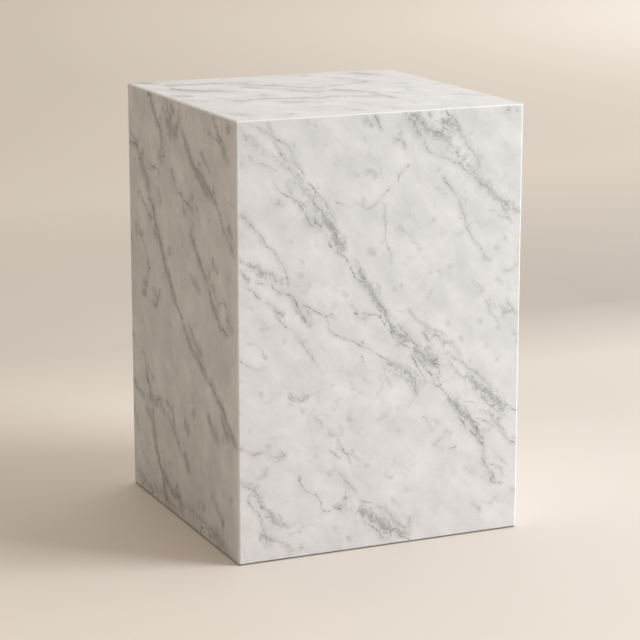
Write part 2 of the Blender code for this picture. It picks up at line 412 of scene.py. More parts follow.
    (2.6, (-342, 220, .6), (-337, 223, .7), (-335, 217, .6)),
    (2.1, (-227, 300, .6), (-222, 298, .9), (-213, 289, .7), (-200, 272, 1), (-192, 262, .7),
     (-184, 256, 1), (-177, 249, 1), (-167, 247, 1), (-163, 239, .8), (-156, 232, .7), (-151, 230, .7),
     (-142, 217, .6), (-126, 210, .5), (-118, 208, .6), (-107, 201, .9), (-102, 197, .6), (-85, 190, .8),
     (-79, 190, 1), (-74, 186, .5), (-67, 182, .8), (-64, 178, .8), (-51, 173, .9), (-42, 168, .9),
     (-38, 163, .9), (-34, 159, .5), (-28, 157, .5), (-12, 141, 1), (-7, 139, .5), (-3, 138, .8),
     (10, 132, .4)),
    (2.2, (-155, 249, .4), (-147, 243, .6), (-143, 240, .4), (-118, 223, .5), (-109, 219, .6),
     (-102, 217, .3)),
    (1.8, (-132, 250, .6), (-130, 246, .8), (-131, 243, .6)),
    (1.5, (-8, 236, .5), (-4, 238, .9), (0, 239, .7)),
    (2, (-318, 179, .4), (-312, 180, .7), (-307, 179, .8), (-300, 173, .9), (-298, 168, .6),
     (-298, 163, .4), (-299, 158, .6), (-298, 155, .9), (-295, 146, 1), (-287, 142, .6), (-287, 135, .4),
     (-284, 128, .6), (-284, 123, 1)),
    (2, (-297, 167, .4), (-275, 150, .6), (-270, 146, .3)),
    (1.7, (-290, 122, .5), (-284, 123, 1), (-267, 128, .4), (-259, 128, .5), (-250, 133, 1),
     (-246, 135, .7)),
    (1.4, (-270, 121, .4), (-263, 122, .8), (-254, 130, .8)),
    (1.9, (-242, 131, .4), (-232, 135, .7), (-223, 132, .7), (-214, 132, 1), (-211, 130, .7),
     (-206, 120, .5), (-202, 110, .8), (-199, 107, .6), (-197, 99, .7), (-194, 96, .9), (-190, 93, .6),
     (-187, 89, .8), (-182, 79, .5)),
    (1.9, (-249, 125, .5), (-243, 126, .9), (-240, 128, .8)),
    (1.9, (-243, 124, .6), (-218, 112, .5), (-213, 110, .8), (-203, 102, .6), (-198, 96, .8)),
    (1.9, (-350, 134, .6), (-343, 132, .8), (-338, 131, .6), (-334, 126, .5), (-328, 124, .6),
     (-321, 126, .5), (-316, 122, .5), (-303, 121, .2)),
    (1.9, (-305, 106, .5), (-302, 108, .7), (-292, 103, .4), (-285, 100, .3)),
    (2.8, (-279, 118, .4), (-278, 110, .5), (-279, 103, .5), (-275, 88, .5), (-273, 82, .5),
     (-274, 77, .9), (-271, 76, .8), (-270, 70, .7), (-267, 68, .9), (-264, 59, .8), (-254, 46, 1),
     (-251, 43, .7), (-246, 42, .9), (-241, 34, 1), (-240, 25, 1), (-236, 15, .9), (-229, 9, 1),
     (-225, 10, 1), (-217, 7, .3)),
    (2, (-350, 83, .6), (-345, 84, .8), (-346, 101, .7)),
    (2.1, (-342, 90, .6), (-339, 91, .9), (-329, 75, .7), (-320, 71, .6)),
    (1.9, (-299, 69, .4), (-294, 70, .7), (-289, 68, .7), (-281, 60, .4)),
    (2.4, (-239, 38, .9), (-234, 36, 1), (-230, 32, .8), (-222, 32, .7), (-218, 28, .6), (-213, 26, .8),
     (-208, 24, .5), (-192, 28, .6), (-184, 20, 1), (-181, 18, .6)),
    (1.5, (-225, 60, .6), (-219, 61, .9), (-215, 62, .6)),
    (1.9, (-243, 56, .5), (-239, 55, .8), (-235, 54, .5)),
    (2.4, (-204, 38, .5), (-192, 36, .6), (-189, 32, .5)),
    (2.8, (-288, 13, .6), (-282, 5, 1), (-278, 3, .9)),
    (2.8, (-323, 11, .4), (-320, 6, .8), (-318, 3, .6)),
    (1.9, (-285, 22, .4), (-280, 24, .7), (-277, 20, .5), (-271, 20, .7)),
    (2.3, (-173, 90, .6), (-163, 76, .7), (-160, 71, 1), (-157, 70, 1), (-155, 71, .8)),
    (2.3, (-94, 155, .6), (-91, 152, .8), (-89, 147, .8), (-75, 136, .6), (-61, 128, .4), (-55, 122, .3)),
    (1.9, (-53, 163, .6), (-50, 160, .8), (-46, 158, .6), (-41, 150, 1), (-36, 143, .9), (-27, 141, 1),
     (-23, 142, .9), (-19, 141, .5)),
    (1.9, (-47, 138, .5), (-43, 132, .6), (-42, 126, .6)),
    (2.3, (-86, 59, .5), (-80, 56, .6), (-76, 51, .7), (-66, 48, .5), (-53, 41, .8), (-45, 31, .9)),
    (1.9, (-25, 74, .5), (-23, 70, .6), (-19, 68, .6)),
    (3, (-130, 40, .4), (-127, 35, .7), (-119, 29, .5)),
    (2.4, (-115, 39, .4), (-109, 37, .7), (-103, 34, .5)),
    (2.8, (-132, 14, .5), (-128, 15, .8), (-124, 17, .5)),
    (2.8, (-120, 10, .5), (-112, 12, .8), (-106, 8, .5)),
    (2.8, (-95, 10, .4), (-88, 7, .9), (-84, 5, .6)),
    (2.4, (-80, 13, .6), (-74, 15, .7), (-67, 14, .5)),
    (2.8, (-68, 6, .5), (-62, 6, .8), (-57, 4, .5)),
    (2.4, (-142, 145, .4), (-134, 141, .6), (-133, 136, .5)),
    (2.6, (-172, 123, .4), (-168, 124, .5), (-156, 116, .4), (-148, 114, .3)),
)

# Wide, soft smears of grey, which carry the fine net of dark threads.
FACE_SMEARS = (
    # great band
    (16, (10, 488, .4), (25, 472, .5), (62, 445, .5), (84, 415, .7), (103, 390, .9), (121, 357, 1),
     (127, 345, .6)),
    (9, (140, 332, .6), (166, 292, 1), (194, 250, 1), (210, 236, 1)),
    (13, (214, 232, .7), (234, 216, 1), (244, 208, .8), (250, 196, .5), (250, 184, .6)),
    (10, (256, 170, .6), (265, 159, 1), (296, 124, 1), (307, 98, .7), (309, 84, .7), (320, 62, .8)),
    (12, (176, 220, .6), (212, 196, .8), (220, 184, .5)),
    (12, (226, 256, .4), (250, 236, .8), (260, 224, .5)),
    (10, (276, 196, .4), (316, 159, 1), (336, 142, .5)),
    (12, (296, 152, .5), (326, 128, .7), (340, 112, .5)),
    # second and third veins
    (14, (4, 350, .6), (34, 328, .8), (48, 322, .7), (58, 314, .5)),
    (9, (60, 300, .4), (78, 280, .8), (86, 270, .4)),
    (7, (6, 332, .5), (14, 326, .9), (18, 318, .4)),
    # shoulder
    (14, (206, 500, .7), (222, 482, .9), (250, 466, .9), (262, 454, .6), (275, 441, .8), (288, 428, .6),
     (330, 384, .7), (346, 374, .6)),
    (10, (245, 492, .8), (256, 484, 1), (276, 464, .5), (290, 450, .5), (300, 434, .5)),
    # elsewhere
    (12, (56, 192, .3), (68, 184, .7), (92, 182, .4)),
    (12, (6, 100, .5), (36, 56, .8), (60, 36, .6)),
    (14, (20, 34, .4), (34, 28, .8), (50, 22, .6), (66, 12, .6), (84, 8, .5)),
    (10, (108, 56, .4), (122, 54, .7), (134, 58, .4)),
    (14, (142, 52, .7), (156, 42, 1), (186, 20, .9), (210, 8, .7)),
    (13, (304, 284, .5), (318, 270, .4), (332, 262, .7), (346, 262, .5)),
    (12, (26, 132, .5), (38, 122, .5), (52, 120, .7), (60, 112, .3)),
    (10, (92, 164, .5), (104, 150, .3), (114, 140, .6), (126, 128, .4)),
    (12, (150, 492, .5), (166, 482, .3)),
    (9, (255, 450, .5), (266, 447, .8), (276, 442, .6)),
    # the shaded face
    (13, (-276, 498, .5), (-240, 462, .9), (-228, 438, .7), (-215, 428, .6)),
    (22, (-235, 495, .4), (-222, 480, .7), (-196, 462, .9), (-182, 466, .9), (-172, 475, .8),
     (-168, 490, .6)),
    (10, (-165, 472, .6), (-153, 454, .6), (-125, 428, 1), (-70, 406, .9), (-56, 398, .8), (-34, 372, .7),
     (-8, 358, .4)),
    (11, (-122, 440, .5), (-110, 438, .7), (-98, 440, .5)),
    (15, (-64, 492, .4), (-50, 478, .6), (-40, 472, .6), (-30, 460, .5), (-18, 452, .4)),
    (15, (-345, 442, .6), (-330, 436, .6), (-316, 426, .8), (-270, 366, .8), (-236, 316, 1),
     (-196, 268, .6)),
    (9, (-290, 408, .5), (-272, 408, .7), (-255, 408, .5)),
    (11, (-315, 385, .4), (-310, 372, .6), (-296, 362, .7), (-282, 356, .6)),
    (13, (-310, 320, .4), (-290, 305, .6), (-284, 290, .7), (-288, 272, .6), (-298, 260, .8),
     (-308, 252, .6)),
    (13, (-275, 268, .5), (-258, 256, .7), (-250, 250, .5)),
    (11, (-185, 256, .6), (-172, 246, .9), (-146, 220, .8), (-110, 206, .9), (-95, 195, .7),
     (-78, 188, .7), (-46, 168, .7), (-34, 156, .6), (-6, 140, .5)),
    (10, (-140, 352, .6), (-108, 322, .8), (-66, 280, .9), (-52, 268, .7), (-40, 262, .7), (-26, 260, .7),
     (-10, 262, .5)),
    (13, (-80, 310, .6), (-64, 296, .7), (-50, 290, .6), (-34, 290, .6), (-24, 272, .6)),
    (8, (-50, 155, .5), (-26, 142, .8)),
    (11, (-330, 178, .4), (-312, 178, .6), (-300, 170, .6), (-296, 152, .5), (-285, 130, .5),
     (-272, 84, .6), (-266, 66, 1), (-244, 36, 1), (-236, 20, 1), (-226, 8, 1)),
    (13, (-250, 130, .4), (-230, 130, .5), (-214, 126, .6), (-206, 112, .6), (-194, 98, .8),
     (-186, 84, .7), (-170, 80, .6), (-160, 70, .8), (-146, 66, .6)),
    (15, (-232, 34, .8), (-212, 27, .8), (-195, 30, .8), (-182, 20, .8)),
    (24, (-340, 20, .6), (-300, 12, .7), (-260, 14, .6), (-200, 10, .6), (-150, 22, .6), (-110, 20, .7),
     (-30, 8, .5)),
    (15, (-330, 60, .4), (-310, 44, .6), (-260, 36, .4)),
    (9, (-84, 56, .5), (-66, 48, .6), (-48, 36, .6)),
    (11, (-92, 150, .5), (-50, 118, .4)),
)

# On the top a point is mm to the right, mm away from the viewer, and strength.
TOP_STRANDS = (
    (5, (-170, 170, .8), (-163, 167, 1), (-153, 155, .6), (-147, 150, .4)),
    (3.6, (-142, 131, .7), (-137, 128, 1), (-117, 129, .9), (-93, 127, 1), (-85, 128, .8), (-75, 125, .7),
     (-65, 127, .5), (-57, 121, .7), (-45, 105, .8), (-38, 97, .5), (-29, 89, .9), (-21, 85, .8),
     (-14, 71, .6), (10, 47, .5), (17, 41, .5), (21, 33, .4)),
    (3.6, (-141, 123, .4), (-143, 110, .9), (-144, 100, .8), (-130, 79, .7), (-117, 65, .7),
     (-109, 64, .6), (-87, 51, .6), (-77, 47, .4)),
    (3.6, (-170, 41, .7), (-164, 40, .7), (-149, 33, .8), (-141, 27, .4)),
    (3.6, (-60, 87, .5), (-56, 75, .5), (-44, 59, .7), (-22, 37, .6), (-8, 13, 1), (-3, 9, .8),
     (-7, -15, .5), (-11, -25, .7)),
    (3.6, (-119, -30, .8), (-113, -29, .9), (-105, -25, .7), (-100, -23, 1), (-95, -21, .9), (-88, -24, 1),
     (-75, -20, .9), (-68, -24, .6), (-45, -33, .9), (-37, -33, 1), (-30, -35, .9), (-25, -41, .9),
     (-19, -45, .9), (-12, -41, 1), (0, -31, 1), (5, -35, .6), (25, -44, .6), (55, -51, .7)),
    (3.6, (-7, 5, .7), (1, 15, .5), (13, 21, .6), (22, 22, 1), (27, 19, .8), (47, -5, .7), (56, -20, .8),
     (59, -43, 1), (58, -49, .8), (61, -59, .6), (62, -69, .9), (60, -77, .8), (63, -89, .4),
     (66, -113, .7), (68, -121, .9), (74, -123, .4)),
    (4, (75, -25, .5), (81, -33, .6), (87, -37, .8), (92, -37, .9), (95, -31, .4)),
    (3.6, (60, -10, .5), (80, -21, .5), (87, -27, .5)),
    (3, (-66, 5, .6), (-63, 20, .5)),
    (3.6, (-75, -47, .4), (-65, -57, .5), (-45, -69, .4), (-35, -75, .8), (-30, -83, .8)),
    (4.5, (-65, -103, .3), (-55, -109, .4), (-42, -113, .5), (-32, -121, .6), (-23, -131, .6),
     (-19, -143, .7), (-13, -151, .7)),
    (3.6, (5, -109, .3), (31, -155, .7)),
    (3.6, (-165, -115, .5), (-160, -117, .5), (-153, -123, .3), (-149, -135, .4), (-139, -157, .5)),
    (3, (-103, -155, .4), (-94, -141, .5)),
    (3.6, (65, 127, .4), (93, 93, .7), (97, 79, .6), (93, 73, .7), (83, 65, .3), (57, 59, .4),
     (43, 51, .4), (29, 47, .5)),
    (4.5, (115, 160, .6), (123, 141, .7), (130, 129, .4), (135, 125, .4)),
    (3.6, (125, 49, .4), (131, 39, .5), (127, 30, .3)),
    (3, (101, -25, .3), (108, -13, .7), (113, 1, .5), (109, 15, .3)),
    (3.6, (143, -71, .4), (160, -95, .5), (167, -107, .5)),
    (3, (83, -149, .3), (91, -157, .6)),
    (3.6, (-170, 3, .6), (-143, -11, .3)),
    (3.6, (-137, 15, .3), (-115, -5, .4), (-103, -21, .5)),
    (3.6, (-42, -35, .5), (-39, -47, .6), (-43, -55, .3)),
    (4.5, (41, 155, .4), (49, 147, .4)),
)
TOP_SMEARS = (
    (30, (-155, 145, .6), (-115, 130, .7), (-65, 125, .6), (-15, 125, .4)),
    (22, (-145, 95, .5), (-120, 70, .7), (-85, 50, .5), (-55, 40, .3)),
    (18, (-115, -25, .5), (-75, -23, .7), (-35, -35, .8), (-5, -35, .8), (25, -43, .5), (55, -47, .5)),
    (14, (-45, 61, .4), (-20, 33, .6), (-7, 5, .6)),
    (14, (25, 21, .5), (45, -3, .5), (59, -35, .6), (62, -69, .4)),
    (14, (-55, -109, .3), (-30, -123, .4), (-15, -149, .4)),
    (12, (-165, 170, 1), (-151, 153, .5)),
    (14, (-155, -135, .3), (-141, -153, .4)),
)


class Field:
    """A number or vector that varies over a surface: a node's socket, with Python's operators."""

    def __init__(self, sheet, socket):
        self.sheet = sheet
        self.socket = socket

    def vector_maths(self, operation, *others, output="Vector"):
        """Add a Vector Math node."""
        return self.sheet.node("ShaderNodeVectorMath", {"operation": operation},
                               dict(enumerate((self, *others))), output)

    def maths(self, operation, *others, turned=False):
        """Add a Math or a Vector Math node, as the values ask, with the order turned round or not."""
        values = (self, *others)[::-1] if turned else (self, *others)
        plain = all(field_is_number(value) for value in values)
        kind = "ShaderNodeMath" if plain else "ShaderNodeVectorMath"
        return self.sheet.node(kind, {"operation": operation}, dict(enumerate(values)))

    def __add__(self, other):
        return self.maths("ADD", other)

    def __sub__(self, other):
        return self.maths("SUBTRACT", other)

    def __rsub__(self, other):
        return self.maths("SUBTRACT", other, turned=True)

    def __mul__(self, other):
        return self.maths("MULTIPLY", other)

    def __truediv__(self, number):
        return self * (1 / number)

    def __pow__(self, other):
        return self.maths("POWER", other)

    def __abs__(self):
        return self.maths("ABSOLUTE")

    __radd__ = __add__
    __rmul__ = __mul__

    def at_least(self, other):
        """The larger of this and the other."""
        return self.maths("MAXIMUM", other)

    def at_most(self, other):
        """The smaller of this and the other."""
        return self.maths("MINIMUM", other)

    def along(self, direction):
        """How far this place lies along a direction."""
        return self.vector_maths("DOT_PRODUCT", direction, output="Value")

    def along_all(self, angle):
        """How far this place lies along a flat heading, as each of a vector's three numbers."""
        share = self * (3 * math.cos(angle), 3 * math.sin(angle), 0)
        return share.vector_maths("PROJECT", (1, 1, 1))

    def parts(self):
        """The three numbers of a vector."""
        split = self.sheet.node("ShaderNodeSeparateXYZ", {}, {"Vector": self}, "X").socket.node
        return [Field(self.sheet, socket) for socket in split.outputs]

    def ramp(self, start, end):
        """0 up to start, 1 from end on, and an even slope between them."""
        return self.sheet.node("ShaderNodeMapRange", {"clamp": True},
                               {"Value": self, "From Min": start, "From Max": end})


def field_is_number(value):
    """True for a plain number and for a field of numbers."""
    if isinstance(value, Field):
        return value.socket.type == "VALUE"
    return isinstance(value, (int, float))


class Sheet:
    """The node tree of a material or a world, which fields are written on."""

    def __init__(self, owner):
        owner.use_nodes = True
        self.tree = owner.node_tree

    def node(self, kind, settings, inputs, output=0):
        """Add a node: its settings first, then the values or links of its sockets."""
        made = self.tree.nodes.new(kind)
        for name, value in settings.items():
            setattr(made, name, value)
        for key, value in inputs.items():
            self.feed(find_socket(made.inputs, key), value)
        return Field(self, find_socket(made.outputs, output))

    def feed(self, socket, value):
        """Link a field to a socket, or set the socket's own value."""
        if isinstance(value, Field):
            self.tree.links.new(value.socket, socket)
        elif socket.type == "VECTOR" and isinstance(value, (int, float)):
            socket.default_value = (value, value, value)
        else:
            socket.default_value = value

    def curves(self, where, tracks):
        """Three curves read at one place, as the three numbers of a vector."""
        lookup = self.node("ShaderNodeVectorCurve", {}, {"Vector": where})
        mapping = lookup.socket.node.mapping
        mapping.use_clip = False
        mapping.extend = "HORIZONTAL"
        for curve, track in zip(mapping.curves, tracks):
            while len(curve.points) > 2:
                curve.points.remove(curve.points[1])
            curve.points[0].location = track[0]
            curve.points[1].location = track[-1]
            for spot in track[1:-1]:
                curve.points.new(*spot)
            for point in curve.points:
                point.handle_type = "AUTO_CLAMPED"
        mapping.update()
        return lookup

    def blend(self, share, first, second):
        """Mix two colours."""
        return self.node("ShaderNodeMix", {"data_type": "RGBA"},
                         {"Factor_Float": share, "A_Color": first, "B_Color": second}, "Result_Color")

    def tint(self, colour, strength):
        """A colour made stronger or weaker from place to place."""
        return self.node("ShaderNodeVectorMath", {"operation": "MULTIPLY"}, {0: tuple(colour), 1: strength})

    def blend_places(self, share, first, second):
        """Mix two vectors."""
        return self.node("ShaderNodeMix", {"data_type": "VECTOR"},
                         {"Factor_Float": share, "A_Vector": first, "B_Vector": second}, "Result_Vector")


def find_socket(sockets, key):
    """A socket by its number, identifier or name."""
    if isinstance(key, int):
        return sockets[key]
    return next(socket for socket in sockets if key in (socket.identifier, socket.name))


# Veins are read in the direction in which they run down and to the right, and veins of
# like heading share lanes, one behind the other.
LAST_HEADING = math.radians(45)
HEADING_STEP = math.radians(15)
SHARPEST_TURN = 0.2
FADE = 5 * MM
NOTHING = -9
LANES = 3


def heading(points):
    """The angle from a vein's first point to its last."""
    return math.atan2(points[-1][1] - points[0][1], points[-1][0] - points[0][0])


def cut_bends(points):
    """Cut a vein where it turns too far from its heading."""
    angle = heading(points)
    ahead = Vector((math.cos(angle), math.sin(angle)))
    steps = [Vector(later[:2]) - Vector(earlier[:2]) for earlier, later in zip(points, points[1:])]
    turns = [ahead.dot(step.normalized()) for step in steps]
    if min(turns) > SHARPEST_TURN:
        return [points]
    cut = max(turns.index(min(turns)), 1)
    return cut_bends(points[:cut + 1]) + cut_bends(points[cut:])


def read_vein(drawn):
    """A drawn vein as runs of (distance ahead, distance aside, strength, sharpness) on their headings."""
    half_width, *points = drawn
    runs = []
    for run in cut_bends([(along * MM, up * MM, strength) for along, up, strength in points]):
        if not LAST_HEADING - math.pi < heading(run) <= LAST_HEADING:
            run.reverse()
        angle = round(heading(run) / HEADING_STEP) * HEADING_STEP
        ahead = Vector((math.cos(angle), math.sin(angle)))
        aside = Vector((-math.sin(angle), math.cos(angle)))
        places = [(ahead.dot(point[:2]), aside.dot(point[:2]), point[2], 1 / (half_width * MM))
                  for point in map(tuple, run)]
        runs.append((angle, places))
    return runs


def fill_lanes(runs):
    """Lay runs of one heading behind each other, in as few lanes as hold them."""
    lanes = []
    for run in sorted(runs):
        start, end = run[0], run[-1]
        before = (start[0] - FADE, start[1], NOTHING, start[3])
        after = (end[0] + FADE, end[1], NOTHING, end[3])
        faded = [before, *run, after]
        free = next((lane for lane in lanes if lane[-1][0] < faded[0][0]), None)
        if free is None:
            free = []
            lanes.append(free)
        free += faded
    return lanes + [lanes[-1]] * (-len(lanes) % LANES)


def draw_veins(sheet, spot, drawn):
    """How near a spot is to the drawn veins: 1 amid a strong one, 0 at its edge, then below 0."""
    headings = {}
    for vein in drawn:
        for angle, run in read_vein(vein):
            headings.setdefault(angle, []).append(run)
    shown = None
    for angle, runs in sorted(headings.items()):
        ahead, aside = spot.along_all(angle), spot.along_all(angle + math.pi / 2)
        lanes = fill_lanes(runs)
        for first in range(0, len(lanes), LANES):
            middle, strength, sharpness = (
                sheet.curves(ahead, [[(place[0], place[kind]) for place in lane]
                                     for lane in lanes[first:first + LANES]])
                for kind in (1, 2, 3))
            line = strength - abs(aside - middle) * sharpness
            shown = line if shown is None else shown.at_least(line)
    x, y, z = shown.parts()
    return x.at_least(y).at_least(z)


def voronoi(sheet, where, cell, feature, output):
    """A flat pattern of cells of a given length and breadth."""
    return sheet.node("ShaderNodeTexVoronoi", {"voronoi_dimensions": "2D", "feature": feature},
                      {"Vector": where * (1 / cell[0], 1 / cell[1], 0), "Scale": 1}, output)


def net(sheet, where, cell, thread):
    """Threads round stretched cells: 1 on a thread, 0 inside a cell."""
    return voronoi(sheet, where, cell, "DISTANCE_TO_EDGE", "Distance").ramp(thread, 0)


def specks(sheet, where, cell, reach, share):
    """Small round marks, one in a share of the cells."""
    distance = voronoi(sheet, where, cell, "F1", "Distance")
    chosen = Field(sheet, distance.socket.node.outputs["Color"]).parts()[0]
    return distance.ramp(reach, 0) * chosen.ramp(1 - share, 1.2 - share)


def grain(sheet, where, scale, detail, roughness=0.5):
    """Even noise: a field of three numbers, each about 0.5."""
    return sheet.node("ShaderNodeTexNoise", {"noise_dimensions": "3D"},
                      {"Vector": where, "Scale": scale, "Detail": detail, "Roughness": roughness}, "Color")


def contour(value, level, half_width):
    """Thin winding lines where a noise passes through a level."""
    return (1 - abs(value - level) / half_width).at_least(0)


# The heading of the stone's bedding on the upright faces and on the top.
FACE_BEDDING = math.radians(-50)
TOP_BEDDING = math.radians(-32)


def flow(spot, angle, depth):
    """A place as its distance along and across the bedding."""
    along = spot.along((math.cos(angle), math.sin(angle), 0))
    across = spot.along((-math.sin(angle), math.cos(angle), 0))
    return spot.sheet.node("ShaderNodeCombineXYZ", {}, {"X": along, "Y": across, "Z": depth})


# The stone's noises: lumps per metre, octaves, and how strong each finer octave is.
BROAD_GRAIN = (6, 2)
CLOUD_GRAIN = (22, 5, 0.58)
FINE_GRAIN = (42, 5, 0.68)
RAGGED_GRAIN = (75, 4, 0.6)
BEAD_GRAIN = (130, 3, 0.6)
GRIT_GRAIN = (340, 2, 0.6)
CLOUD_STRETCH = (1, 1.5, 1)

# How far the noises push the veins, and what lies beside them, off their course.
SIDE_BEND = 0.8
TOP_WAVER = 1.6
STIR = 18 * MM
GRIT_STIR = 4 * MM
CRACKLE_STIR = 0.6
SPECK_STIR = 0.5
STRAY_STIR = 2
STRAY_BEND = 60 * MM

# The patterns of cells: length and breadth of a cell, then what is drawn of it.
CRACKLE = ((11 * MM, 6 * MM), 0.16)
STRAY = ((90 * MM, 34 * MM), 0.04)
SPECKS = ((26 * MM, 18 * MM), 0.2, 0.3)
KNOT = (0.5, 0.06)

# Where each thing sets in and where it is full: the two ends of an even ramp.
TOP_TILT = (0.6, 0.8)
# Where the right side's painted shade sets in.
RIGHT_TILT = (0.8, 0.95)
# Where the painted highlight on the rounded edges, above the foot, sets in.
ROUNDED = (0.98, 0.8)
# Where the painted shade of the shaded side and of the top's far corner sets in.
SHADED_SIDE = (0, 20 * MM)
FAR_CORNER = (-0.2, 0.3)
ABOVE_FOOT = (5 * MM, 15 * MM)
# Where the painted shadow along the foot sets in.
FOOT_SHADOW_LINE = (2 * MM, 1.2 * MM)
BEADED = (0.38, 0.62)
PATCHED = (0.35, 0.6)
STRAND_BODY = (0, 0.9)
STRAND_REACH = (-0.5, 0.1)
NET_REACH = (0.1, 0.8)
KNOT_REACH = (0.5, 1.1)
HAZE_BODY = (0.2, 1)
HAZE_REACH = (0, 0.85)
WISP_REACH = (0.4, 0.6)
CLOUDED = (0.3, 0.66)
GREY_PATCHED = (0.3, 0.75)

# Beads: what is left in the gaps between them, and how much more there is in a bead.
BEAD_GAP = 0.15
BEAD_RISE = 1.15

# Drawn veins: how the grit frays them, how fast faint ones pale, and how wide the halo is.
STRAND_FRAY = 1.6
STRAND_PALING = 1.4
HALO_FRAY = 1.5
HALO_REACH = 4

# Painted shade: how much more the veins and their halo show on the shaded side, and how much the right side
# is clouded grey.
SHADED_STRANDS = 0.7
SHADED_HALO = 0.9
RIGHT_SIDE_SHADE = 0.8

# The smears' haze: the shares of the smear itself, of the clouds, the beads and the grit.
HAZE_VEIL = 1.2
HAZE_CLOUDS = 2.4
HAZE_BEADS = 2
HAZE_GRIT = 1.2

# How much rougher the veins and the clouds are, and how strongly stone mirrors.
VEIN_ROUGHNESS = 0.08
CLOUD_ROUGHNESS = 0.06
STONE_IOR = 1.5


def join(sheet, x, y):
    """Two numbers as a flat place."""
    return sheet.node("ShaderNodeCombineXYZ", {}, {"X": x, "Y": y})


def marble(finish):
    """The veined stone's material."""
    material = bpy.data.materials.new("veined marble")
    sheet = Sheet(material)
    place = sheet.node("ShaderNodeTexCoord", {}, {}, "Object")
    normal = Field(sheet, place.socket.node.outputs["Normal"])
    x, y, z = place.parts()
    top = abs(normal.parts()[2]).ramp(*TOP_TILT)

    broad = grain(sheet, place, *BROAD_GRAIN) - 0.5
    fine = grain(sheet, place, *FINE_GRAIN) - 0.5
    ragged = grain(sheet, place, *RAGGED_GRAIN) - 0.5
    beads = grain(sheet, place, *BEAD_GRAIN)
    grit = grain(sheet, place, *GRIT_GRAIN) - 0.5
    beyond = (x + y).at_least(0)
    upright = join(sheet, x - y + (WIDTH - DEPTH) / 2, z)
    waver = ragged * (finish.waver * MM) + grit * (finish.fray * MM)
    face_spot = upright + waver + broad * beyond * SIDE_BEND
    top_spot = place * (1, 1, 0) + waver * TOP_WAVER

    line = draw_veins(sheet, face_spot, FACE_STRANDS) * (1 - top)
    line = line + draw_veins(sheet, top_spot, TOP_STRANDS) * top
    stir = fine * STIR + grit * GRIT_STIR
    veil = draw_veins(sheet, face_spot + stir, FACE_SMEARS).at_least(0) * (1 - top)
    veil = veil + draw_veins(sheet, top_spot + stir, TOP_SMEARS).at_least(0) * top

    bed = sheet.blend_places(top, flow(face_spot, FACE_BEDDING, beyond), flow(top_spot, TOP_BEDDING, z))
    cloud_x, cloud_y, cloud_z = grain(sheet, bed * CLOUD_STRETCH, *CLOUD_GRAIN).parts()
    bead_x, bead_y, bead_z = beads.parts()
    grit_x, grit_y, grit_z = grit.parts()
    broad_y = (broad + 0.5).parts()[1]
    beading = BEAD_GAP + bead_x.ramp(*BEADED) * BEAD_RISE
    patches = cloud_y.ramp(*PATCHED)

    # Painted shade: the shaded side, the back and the top's far corner are greyed, with darker veins and
    # halo.
    painted_side_shade = (0 - upright.parts()[0]).ramp(*SHADED_SIDE) * (1 - top)
    painted_side_shade = painted_side_shade + place.along((-1, 1, 0)).ramp(*FAR_CORNER) * top
    body = (line + grit_x * STRAND_FRAY).ramp(*STRAND_BODY) ** STRAND_PALING
    strands = body * line.ramp(*STRAND_REACH) * beading * (painted_side_shade * SHADED_STRANDS + 1)
    halo = (line / HALO_REACH + 1).at_least(0) * (patches + grit_y * HALO_FRAY).at_least(0)
    halo = halo * (painted_side_shade * SHADED_HALO + 1)
    netted = net(sheet, bed + stir * CRACKLE_STIR, *CRACKLE) * (veil + grit_y).ramp(*NET_REACH) * beading
    knots = contour(bead_z, *KNOT) * veil.ramp(*KNOT_REACH)
    haze = veil * HAZE_VEIL + (cloud_z - 0.5) * HAZE_CLOUDS
    haze = haze + (bead_y - 0.5) * HAZE_BEADS + grit_z * HAZE_GRIT
    haze = haze.ramp(*HAZE_BODY) * veil.ramp(*HAZE_REACH)
    stray = net(sheet, bed + broad * STRAY_BEND + stir * STRAY_STIR, *STRAY)
    wisps = stray * broad_y.ramp(*WISP_REACH) * patches * beading
    spots = specks(sheet, bed + stir * SPECK_STIR, *SPECKS)

    # Painted shade: the right side, which the main light strikes hardest, is clouded and greyed.
    right = normal.parts()[0].ramp(*RIGHT_TILT)
    clouds = cloud_x.ramp(*CLOUDED).at_least(right * RIGHT_SIDE_SHADE)
    ground = sheet.blend(clouds, tuple(finish.ground), tuple(finish.cloud))
    grey = (haze * finish.haze).at_least(halo * finish.halo)
    grey = grey + painted_side_shade.at_least(right) * cloud_y.ramp(*GREY_PATCHED) * finish.painted_side_shade
    ground = sheet.blend(grey.at_most(1), ground, tuple(finish.smear))
    dark = (strands * finish.strands).at_least(netted * finish.net).at_least(knots * finish.knots)
    dark = dark.at_least(wisps * finish.wisps).at_least(spots * finish.spots).at_most(1)
    colour = sheet.blend(dark, ground, tuple(finish.vein))
    # Painted highlight: the rounded edges above the foot are lightened towards white.
    tilt_x, tilt_y, tilt_z = abs(normal).parts()
    edge_highlight = tilt_x.at_least(tilt_y).at_least(tilt_z).ramp(*ROUNDED) * z.ramp(*ABOVE_FOOT)
    colour = sheet.blend(edge_highlight * finish.edge_highlight, colour, tuple(finish.edge_highlight_white))
    # Painted shadow: a dark brown line along the foot, where the block meets the floor.
    colour = sheet.blend(z.ramp(*FOOT_SHADOW_LINE) * finish.foot, colour, tuple(finish.foot_shadow_brown))

    shader = sheet.tree.nodes["Principled BSDF"]
    sheet.feed(shader.inputs["Base Color"], colour)
    roughness = finish.roughness + dark * VEIN_ROUGHNESS + cloud_y * CLOUD_ROUGHNESS
    sheet.feed(shader.inputs["Roughness"], roughness)
    shader.inputs["IOR"].default_value = STONE_IOR
    return material


def in_edit(operator, **options):
    """Run one mesh operator on what is selected in edit mode."""
    bpy.ops.object.mode_set(mode="EDIT")
    operator(**options)
    bpy.ops.object.mode_set(mode="OBJECT")


